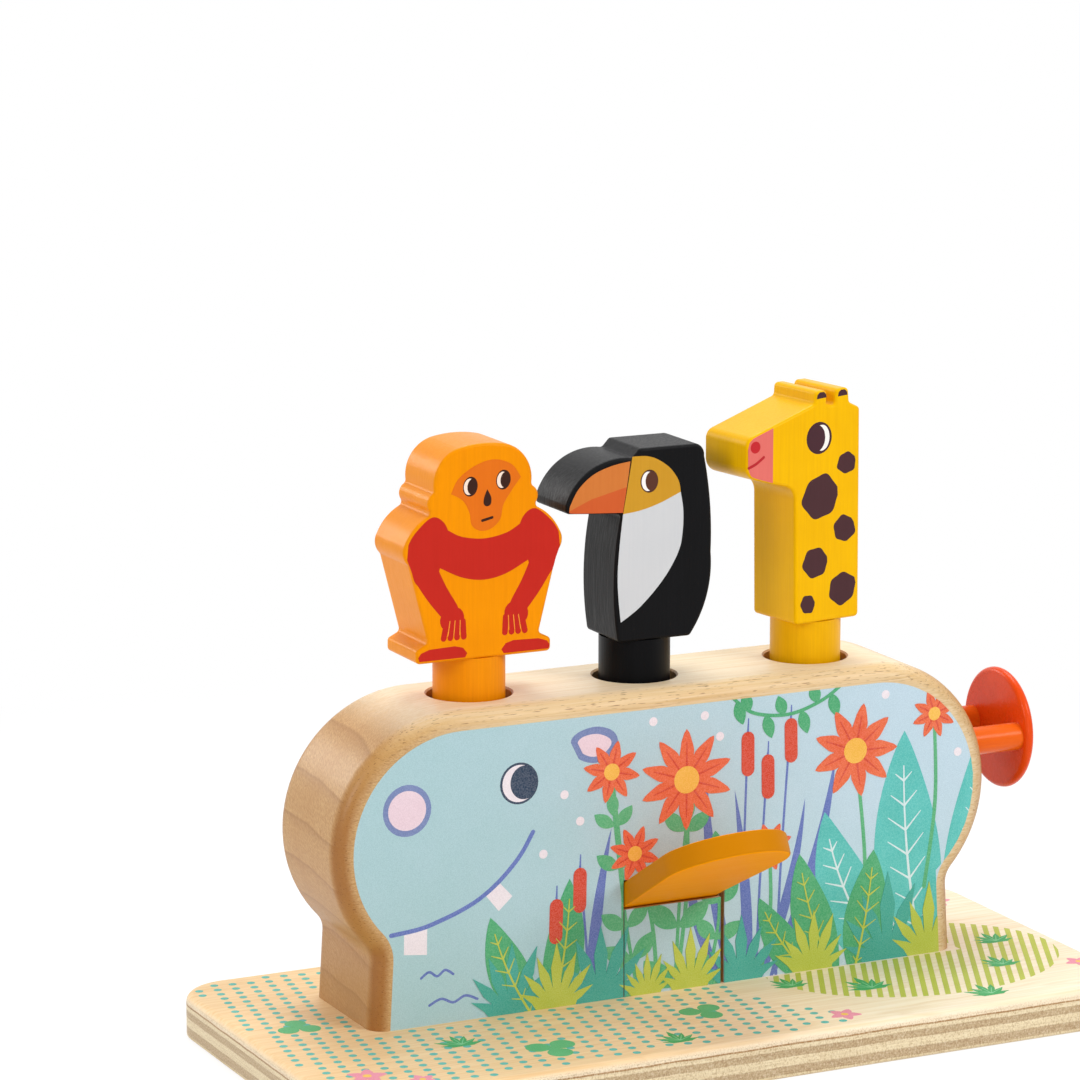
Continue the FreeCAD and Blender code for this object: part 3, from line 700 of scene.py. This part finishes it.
ear_rim = closed([(-39.6, 108.0), (-36.8, 111.2), (-30.0, 112.6), (-23.8, 110.6), (-21.6, 106.4), (-24.6, 101.6),
                  (-31.0, 99.9), (-37.4, 102.6)])
ear = closed([(-37.0, 107.6), (-34.6, 109.6), (-29.6, 110.0), (-25.2, 108.2), (-24.2, 105.8), (-27.2, 102.8),
              (-31.6, 102.2), (-35.6, 104.2)])
front("face_ear_rim", [ear_rim], 0, INK["mauve"])
front("face_ear", [ear], 1, INK["pink"])

# The meadow: reeds, broad leaves, flowers, bushes and ripples
violet, teal, deep_teal, green, leaf_green, lime = [], [], [], [], [], []
orange, red, pale, bubbles, yellow = [], [], [], [], []

# Ripples at the left
for x, y, reach in ((-84, 22, 9), (-90, 32, 6)):
    wave = [(x - reach, y), (x - reach / 2, y + 1.8), (x, y), (x + reach / 2, y + 1.8), (x + reach, y)]
    violet.append(band(smooth(wave), 0.9))

# Reeds with long heads behind the lever and at the left
for x, top, lean in ((29, 105, 2), (37, 96, 4), (46, 108, 5), (-36, 64, -4), (-45, 54, -7)):
    stalk = smooth([(x - lean, 13), (x - lean * 0.7, top * 0.5), (x, top)])
    violet.append(band(stalk, 1.1, 0.8))
    red.append(band([(x, top - 3), (x + lean * 0.05, top - 14)], 5.0))
    violet.append(band([(x, top - 2), (x + 0.2, top + 4)], 0.8, 0.5))
for root, tip, width, bend in (
        ((24, 13), (12, 98), 4.6, 0.06), ((38, 13), (64, 92), 5.0, -0.1), ((30, 13), (24, 84), 4.2, -0.04),
        ((34, 13), (52, 78), 4.0, -0.08), ((-32, 13), (-24, 76), 4.4, 0.05), ((20, 13), (4, 70), 4.0, 0.1)):
    violet.append(leaf(root, tip, width, bend, 1.4, 18))

# Broad leaves
for root, tip, width, bend in (
        ((112, 10), (124, 96), 25, -0.1), ((102, 8), (92, 98), 27, 0.07),
        ((92, 8), (60, 72), 23, 0.16), ((106, 8), (78, 46), 16, 0.1)):
    teal.append(leaf(root, tip, width, bend, 1.1, 22))
    pale.append(band(rib(root, tip, bend), 1.4, 0.5))
    pale += veins(root, tip, width, bend, 8, 0.8)
for root, tip, width, bend in (
        ((66, 10), (50, 58), 16, 0.1), ((72, 10), (80, 56), 17, -0.05), ((58, 10), (34, 44), 13, 0.12),
        ((-52, 10), (-70, 50), 15, 0.1), ((-48, 10), (-40, 60), 15, -0.08)):
    leaf_green.append(leaf(root, tip, width, bend, 1.1, 18))
    lime.append(band(rib(root, tip, bend), 1.0, 0.4))
    lime += veins(root, tip, width, bend, 6, 0.6)

# Flowers on stems
for centre, size, petals, root in (
        ((72, 93), 17, 9, (76, 13)), ((104, 103), 9, 8, (101, 40)), ((5, 90), 18, 10, (1, 13)),
        ((-15, 66), 10, 8, (-6, 13)), ((-24, 96), 11, 8, (-20, 13)), ((38, 62), 9, 8, (34, 13))):
    sway = ((root[0] + centre[0]) / 2 + 2.5, (root[1] + centre[1]) / 2)
    green.append(band(smooth([root, sway, centre]), 1.6, 1.2))
    orange.append(flower(centre, petals, size, 7 * size))
    for k in range(petals):
        angle = 7 * size + 360 * k / petals
        red.append(band([polar(centre, size * 0.25, angle), polar(centre, size * 0.74, angle)], 0.8, 0.4))
    yellow.append(oval(centre, size * 0.27))

# Paired leaves on the flower stems and beside the lever
for points, pairs, length, width in (
        ([(1, 14), (2.5, 46), (5, 74)], 4, 17, 8.5), ([(-13, 14), (-18, 40), (-23, 80)], 5, 14, 7),
        ([(13, 14), (18, 38), (17, 62)], 4, 13, 6.5)):
    line = smooth(points)
    green += sprig(line, pairs, length, width)
    green.append(band(line, 1.4, 1.0))

# Bushes of grass along the foot
for x, height in ((-62, 27), (-28, 31), (86, 31), (27, 27)):
    deep_teal.append(tuft((x, 14), height, 66, 0.34, rng))
for x, height in ((-45, 24), (7, 22), (56, 24), (103, 26), (-10, 17)):
    lime.append(tuft((x, 14), height, 62, 0.34, rng))

# A branch of round leaves hangs from the top
hanging = smooth([(22, 118), (31, 111), (45, 109), (58, 112.5), (67, 118)])
for k in range(3, len(hanging) - 2, 4):
    x, y = hanging[k]
    tip = (x + 2.5, y - 8.5) if k % 8 == 3 else (x - 2.5, y + 7.0)
    leaf_green.append(leaf((x, y), tip, 4.6, 0.0, 1.1, 10))
leaf_green.append(band(hanging, 1.2))
for place in ((-8, 112), (12, 112), (18, 104), (84, 112), (114, 88), (-42, 90), (-50, 70), (-36, 80)):
    bubbles.append(oval(place, 1.6, count=16))

front("print_violet_reeds", violet, 0, INK["violet"])
front("print_teal_leaves", teal, 1, INK["teal"])
front("print_pale_veins", pale, 2, INK["pale"])
front("print_green_stems", green, 3, INK["green"])
front("print_dark_leaves", leaf_green, 4, INK["leaf_green"])
front("print_orange_petals", orange, 5, INK["orange"])
front("print_red_heads", red, 6, INK["red"])
front("print_flower_centres", yellow, 7, inked("ink_yellow", "#F1B33B", "#F4BC4A"))
front("print_teal_grass", deep_teal, 8, INK["deep_teal"])
front("print_lime_grass", lime, 9, INK["lime"])
front("print_dots", bubbles, 2, INK["white"])


# The base board's print

BASE_EDGE = half_planes(-69.3, 69.3, -151.8, 151.8)
DOT_REACH = (150, 67.5)
DOT_CORNER = (137, 54.5)
DOT_CORNER_RADIUS = 14
DOT_STEP = (6.4, -1.25)
DOT_ROW = (0.8, 5.2)
STRIPE_PITCH, STRIPE_WIDTH, STRIPE_SHIFT = 4.4, 2.15, 55.0
STRIPE_FRONT, STRIPE_BACK = -66, 44


def base(name, shapes, layer, colour, second, regions=(BASE_EDGE,)):
    ink = inked(name + "_ink", colour, second)
    printed(name, shapes, on_base, layer, ink, "block", regions)


def inside(outline):
    """The half planes of a convex outline that runs anticlockwise."""
    return [(a, (b[1] - a[1], a[0] - b[0])) for a, b in zip(outline, outline[1:] + outline[:1])]


def takes_dot(x, y):
    """Whether a dot has its place: clear of the block and the edges, and left of the wavy shore."""
    room = 2.0
    if abs(x) < BLOCK_HALF_LENGTH + room and FRONT_Y - room < y < BLOCK_BACK + room:
        return False
    if x > 30 + 12 * math.sin(y / 13.0) or abs(x) > DOT_REACH[0] or abs(y) > DOT_REACH[1]:
        return False
    past = (max(0, abs(x) - DOT_CORNER[0]), max(0, abs(y) - DOT_CORNER[1]))
    return math.hypot(*past) <= DOT_CORNER_RADIUS


dots = []
for row in range(-20, 21):
    for column in range(-32, 32):
        x = column * DOT_STEP[0] + row * DOT_ROW[0]
        y = column * DOT_STEP[1] + row * DOT_ROW[1]
        if takes_dot(x, y):
            dots.append(oval((x, y), 1.45, 1.35, 0, 14))
base("base_dots", dots, 0, "#4FB3A8", "#5ABCB0")

# Slanted stripes fill a round patch that the block covers in part
stripes = []
for k in range(36):
    left = -6 + k * STRIPE_PITCH
    right = left + STRIPE_WIDTH
    stripes.append([(left, STRIPE_FRONT), (right, STRIPE_FRONT),
                    (right + STRIPE_SHIFT, STRIPE_BACK), (left + STRIPE_SHIFT, STRIPE_BACK)])
patch = inside(oval((93, -13), 57, 43, 0, 40))
in_front = half_planes(None, -10.6, None, None, patch)
beside = half_planes(-10.6, None, 116.0, None, patch)
base("base_stripes", stripes, 0, "#B4BC34", "#BEC642", (in_front, beside))

petals, hearts, tufts, pads = [], [], [], []
for x, y, size in ((-134, -50, 7), (-119, -61, 5), (139, 47, 7), (40, -60, 6), (146, -42, 5.5)):
    petals.append(flower((x, y), 5, size, 20 * size))
    hearts.append(oval((x, y), size * 0.22, count=14))
ribs = []
for x, y, size in (
        (-92, -34, 12), (-24, -62, 11), (64, -38, 13), (98, -62, 12), (133, -8, 12), (40, -24, 10.5),
        (120, -34, 11)):
    tufts.append(tuft((x, y), size, 80, 0.4, rng))
    for k in range(5):
        ribs.append(band([(x, y + 0.8), polar((x, y), size * 0.62, 36 + 27 * k)], 0.45, 0.25))
for x, y, size, turn in ((-66, -50, 9.5, 30), (-2, -36, 8.5, 160), (-134, 8, 8.0, 80)):
    pads.append(clover((x, y), size, turn))
base("base_petals", petals, 1, "#E88BA0", "#EC97AA")
base("base_flower_hearts", hearts, 2, "#F3C14B", "#F5C95C")
base("base_grass", tufts, 1, "#2FA152", "#3AAA5C")
base("base_grass_ribs", ribs, 2, "#7FC98F", "#86CE96")
base("base_clovers", pads, 1, "#4DB06C", "#58B777")


# The animals' prints

def figure(animal, name, shapes, layer, colour, second=None):
    ink = painted(animal + "_" + name + "_ink", colour, second or colour, UP, (0.32, 0.45), 0.02, 0.15)
    printed(animal + "_" + name, shapes, on_figure(animal), layer, ink, animal)


def mirror(shape):
    return [(-x, y) for x, y in reversed(shape)]


# Monkey: red arms folded over the belly, red feet, and the face
shoulder = closed([
    (-28.0, 41.4), (-25.0, 45.8), (-19.2, 50.2), (-14.8, 48.0), (-13.0, 42.6), (-15.4, 36.8), (-17.0, 31.0),
    (-20.2, 26.6), (-25.0, 27.6), (-27.0, 32.6), (-28.6, 37.4),
])
fore = band(smooth([(-21.6, 31.0), (-17.6, 24.0), (-12.8, 17.2)]), 9.4, 6.8)
palm = oval((-12.0, 14.6), 4.6, 4.2, 30, 20)
chest = closed([
    (-21.6, 46.6), (-15.0, 46.0), (-8.6, 42.8), (0, 41.4), (8.6, 42.8), (15.0, 46.0), (21.6, 46.6), (25.6, 42.6),
    (24.0, 36.6), (16.0, 32.4), (8.0, 28.6), (0, 27.2), (-8.0, 28.6), (-16.0, 32.4), (-24.0, 36.6), (-25.6, 42.6),
])
fingers = [band([(-14.0 + 2.0 * k, 13.6), (-15.2 + 2.5 * k, 8.2)], 2.1) for k in range(4)]
arms = [shoulder, fore, palm] + fingers
figure("monkey", "arms", arms + [mirror(a) for a in arms] + [chest], 0, "#C02214", "#B61C0E")
gaps = [band([(-12.8 + 1.9 * k, 14.0), (-13.6 + 2.2 * k, 9.0)], 0.3) for k in range(3)]
figure("monkey", "finger_lines", gaps + [mirror(g) for g in gaps], 1, "#F09A30", "#EE9020")
sole = [
    (-24.2, 1.0), (-7.2, 1.0), (-6.4, 2.4), (-8.0, 4.4), (-11.0, 5.2), (-20.4, 4.9), (-23.6, 3.8), (-24.6, 2.4),
]
figure("monkey", "feet", [sole, mirror(sole)], 0, "#C02214", "#B61C0E")
brow = smooth([(-12.2, 57.6), (-9.4, 62.6), (-3.0, 66.7), (4.0, 68.2), (10.4, 66.0), (13.8, 61.4)])
jaw = smooth([(13.8, 61.4), (10.6, 57.5), (7.2, 52.5), (6.0, 47.6), (2.6, 44.6), (-1.6, 44.2), (-4.6, 46.4),
              (-5.4, 50.6), (-7.8, 55.0), (-12.2, 57.6)])
figure("monkey", "face", [brow + jaw[1:-1]], 2, "#DE6E0A", "#D66606")
EYES = ((-5.1, 59.6), (7.2, 61.0))
for name, across, up, shift, layer, colour in (
        ("eye_rims", 2.7, 3.4, 0.0, 3, "#35190F"), ("eye_whites", 2.0, 2.8, -0.4, 4, "#F4DCCB"),
        ("pupils", 1.8, 2.7, 0.7, 5, "#35190F")):
    figure("monkey", name, [oval((x + shift, y), across, up, -8) for x, y in EYES], layer, colour)
nose = smooth([(1.2, 58.2), (2.6, 55.4), (2.4, 53.0), (0.8, 52.4), (-0.2, 53.6), (0.2, 56.0), (1.2, 58.2)])
figure("monkey", "nose", [nose[:-1]], 4, "#35190F")
figure("monkey", "mouth", [band([(-0.7, 47.6), (3.0, 48.4)], 0.9)], 4, "#35190F")

# Toucan: white bib, yellow cheek, the bill's two halves and the eye
bib_side = smooth([(11.3, 51.2), (12.3, 45.0), (12.2, 38.0), (11.0, 31.4), (7.4, 24.7), (2.4, 18.4),
                   (-4.6, 11.8), (-11.4, 7.4)])
bib_edge = smooth([(-11.7, 7.4), (-12.6, 16.0), (-12.9, 24.0), (-12.2, 34.0), (-10.9, 45.2)])
cheek_low = smooth([(-10.9, 45.2), (-4.0, 46.0), (3.4, 48.0), (11.3, 51.2)])
cheek_top = smooth([(11.3, 51.2), (10.4, 55.3), (7.2, 59.8), (2.4, 63.2), (-2.0, 64.7), (-7.4, 64.9)])
figure("toucan", "bib", [bib_side + bib_edge + cheek_low[1:-1]], 0, "#CACBCD", "#C4C6C9")
figure("toucan", "cheek", [cheek_low + cheek_top[1:] + [(-9.2, 54.6)]], 1, "#C79224", "#BE881C")
bill_arc = smooth([(-8.2, 63.4), (-15.4, 62.3), (-22.4, 59.8), (-28.0, 55.2), (-31.2, 49.6)])
bill_top = bill_arc + [(-31.5, 47.9), (-23.0, 51.4), (-9.5, 54.6)]
bill_low = [(-9.5, 54.6), (-23.0, 51.4), (-31.5, 47.9), (-31.4, 47.2), (-29.0, 46.9), (-11.0, 45.7)]
figure("toucan", "bill_top", [bill_top], 2, "#CC7634", "#C46C2C")
figure("toucan", "bill_low", [bill_low], 2, "#CA5A28", "#C25222")
figure("toucan", "eye_rim", [oval((-0.9, 55.9), 3.4, 4.0)], 3, "#4A2A20")
figure("toucan", "eye_white", [oval((-1.4, 55.9), 2.5, 3.4)], 4, "#F1ECEA")
figure("toucan", "pupil", [oval((0.0, 55.9), 2.4, 3.4)], 5, "#552F22")

# Giraffe: spots, muzzle, eye and horn tips
spots = []
for x, y, size, turn in (
        (-3.6, 45.0, 8.2, 12), (7.8, 56.0, 4.4, 20), (7.2, 32.4, 5.2, 40), (-5.2, 21.6, 6.0, 10),
        (6.4, 11.0, 6.6, 25), (-8.6, 7.0, 3.6, 0)):
    ring = [polar((x, y), size * rng.uniform(0.9, 1.08), turn + 60 * k) for k in range(6)]
    dense = []
    for a, b in zip(ring, ring[1:] + ring[:1]):
        dense += [(a[0] + (b[0] - a[0]) * t, a[1] + (b[1] - a[1]) * t) for t in (0.14, 0.5, 0.86)]
    spots.append(closed(dense, 3))
figure("giraffe", "spots", spots, 0, "#47272B", "#3F2226")
chin = smooth([(-24.4, 51.9), (-31.0, 54.0), (-33.8, 55.4), (-35.0, 58.2)])
snout = smooth([(-35.1, 64.6), (-34.4, 67.0), (-32.8, 68.4)])
figure("giraffe", "muzzle", [chin + snout + [(-24.4, 71.2)]], 0, "#DE6E66", "#D6655C")
figure("giraffe", "nostril", [oval((-32.0, 65.2), 2.1, 2.1)], 1, "#BE2128")
smile = band(smooth([(-34.8, 58.2), (-31.6, 59.4), (-28.4, 61.4)]), 1.0)
figure("giraffe", "smile", [smile], 1, "#B32029")
figure("giraffe", "eye_rim", [oval((-4.4, 65.8), 5.5, 5.7)], 0, "#43232A")
figure("giraffe", "eye_white", [oval((-3.3, 65.8), 3.4, 4.6)], 1, "#F4EDE6")
figure("giraffe", "pupil", [oval((-5.5, 65.8), 3.7, 4.7)], 2, "#43232A")
horn = [(-5.5, 79.6), (-5.3, 81.0), (-4.2, 81.9), (-2.6, 81.9), (-1.6, 81.0), (-1.4, 79.9)]
figure("giraffe", "horn_tips", [horn, [(x + 9.2, y + 0.1) for x, y in horn]], 0, "#43232A")


# Floor, lights, world and camera

FLOOR_REACH = 9
SHADOW_FULL, SHADOW_GONE = 0.22, 0.55
WORLD_LIGHT, WORLD_SEEN = 0.45, 1.0
AIM = (0, 0, 0.1)
CAMERA_PLACE = (-0.7007, -1.3450, 0.4797)
CAMERA_DOWN, CAMERA_TURN = 11.43, 25.93
CAMERA_LENS, CAMERA_SENSOR = 150.26, 36


def seen_directly(tree):
    """1 for rays from the camera, a reflection or a clear surface, and 0 for the light itself."""
    path = tree.nodes.new("ShaderNodeLightPath").outputs
    first = path["Is Camera Ray"]
    for ray in ("Is Glossy Ray", "Is Transmission Ray"):
        node = tree.nodes.new("ShaderNodeMath")
        node.operation = "MAXIMUM"
        tree.links.new(first, node.inputs[0])
        tree.links.new(path[ray], node.inputs[1])
        first = node.outputs[0]
    return first


def white_floor():
    """Seen directly the floor is white, with a soft shadow that fades out away from the toy."""
    material = bpy.data.materials.new("white_floor")
    material.use_nodes = True
    tree = material.node_tree
    tree.nodes.clear()
    bounce = tree.nodes.new("ShaderNodeBsdfDiffuse")
    bounce.inputs["Color"].default_value = (0.8, 0.8, 0.8, 1)
    shadow = tree.nodes.new("ShaderNodeBsdfDiffuse")
    shadow.inputs["Color"].default_value = (0.26, 0.26, 0.26, 1)
    glow = tree.nodes.new("ShaderNodeEmission")
    glow.inputs["Strength"].default_value = 0.8
    near = tree.nodes.new("ShaderNodeAddShader")
    far = tree.nodes.new("ShaderNodeEmission")
    coords = tree.nodes.new("ShaderNodeTexCoord")
    distance = tree.nodes.new("ShaderNodeVectorMath")
    distance.operation = "LENGTH"
    fade = tree.nodes.new("ShaderNodeMapRange")
    fade.interpolation_type = "SMOOTHSTEP"
    fade.inputs["From Min"].default_value = SHADOW_FULL
    fade.inputs["From Max"].default_value = SHADOW_GONE
    by_place = tree.nodes.new("ShaderNodeMixShader")
    by_ray = tree.nodes.new("ShaderNodeMixShader")
    surface = tree.nodes.new("ShaderNodeOutputMaterial")
    for start, end in (
            (coords.outputs["Object"], distance.inputs[0]),
            (distance.outputs["Value"], fade.inputs["Value"]),
            (shadow.outputs[0], near.inputs[0]),
            (glow.outputs[0], near.inputs[1]),
            (fade.outputs[0], by_place.inputs[0]),
            (near.outputs[0], by_place.inputs[1]),
            (far.outputs[0], by_place.inputs[2]),
            (seen_directly(tree), by_ray.inputs[0]),
            (bounce.outputs[0], by_ray.inputs[1]),
            (by_place.outputs[0], by_ray.inputs[2]),
            (by_ray.outputs[0], surface.inputs["Surface"])):
        tree.links.new(start, end)
    return material


def lamp(name, place, size, power):
    """A round soft lamp that looks at the toy. Its size is in metres and its power in watts."""
    data = bpy.data.lights.new(name, "AREA")
    data.shape = "DISK"
    data.size = size
    data.energy = power
    light = bpy.data.objects.new(name, data)
    light.location = place
    light.rotation_euler = (Vector(AIM) - Vector(place)).to_track_quat("-Z", "Y").to_euler()
    bpy.context.scene.collection.objects.link(light)


reach = FLOOR_REACH
floor_mesh = bpy.data.meshes.new("floor")
floor_mesh.from_pydata([(-reach, -reach, 0), (reach, -reach, 0), (reach, reach, 0), (-reach, reach, 0)], [],
                       [(0, 1, 2, 3)])
floor_mesh.materials.append(white_floor())
floor = bpy.data.objects.new("floor", floor_mesh)
bpy.context.scene.collection.objects.link(floor)

lamp("key", (0.85, -1.2, 1.15), 0.7, 13.6)
lamp("front", (-0.35, -1.6, 0.3), 0.8, 3.2)
lamp("fill", (-1.35, -0.45, 0.75), 0.6, 6.2)
lamp("top", (0.2, 0.55, 1.5), 0.9, 12.5)
lamp("rim", (-0.75, 1.3, 0.62), 0.5, 4)

world = bpy.data.worlds.new("studio")
bpy.context.scene.world = world
world.use_nodes = True
sky = world.node_tree.nodes["Background"]
sky.inputs["Color"].default_value = (1, 1, 1, 1)
level = world.node_tree.nodes.new("ShaderNodeMapRange")
level.inputs["To Min"].default_value = WORLD_LIGHT
level.inputs["To Max"].default_value = WORLD_SEEN
world.node_tree.links.new(seen_directly(world.node_tree), level.inputs["Value"])
world.node_tree.links.new(level.outputs[0], sky.inputs["Strength"])

camera_data = bpy.data.cameras.new("camera")
camera_data.lens = CAMERA_LENS
camera_data.sensor_width = CAMERA_SENSOR
camera = bpy.data.objects.new("camera", camera_data)
camera.location = CAMERA_PLACE
camera.rotation_euler = (math.radians(90 - CAMERA_DOWN), 0, math.radians(-CAMERA_TURN))
bpy.context.scene.collection.objects.link(camera)
bpy.context.scene.camera = camera
bpy.context.scene.view_settings.view_transform = "Standard"
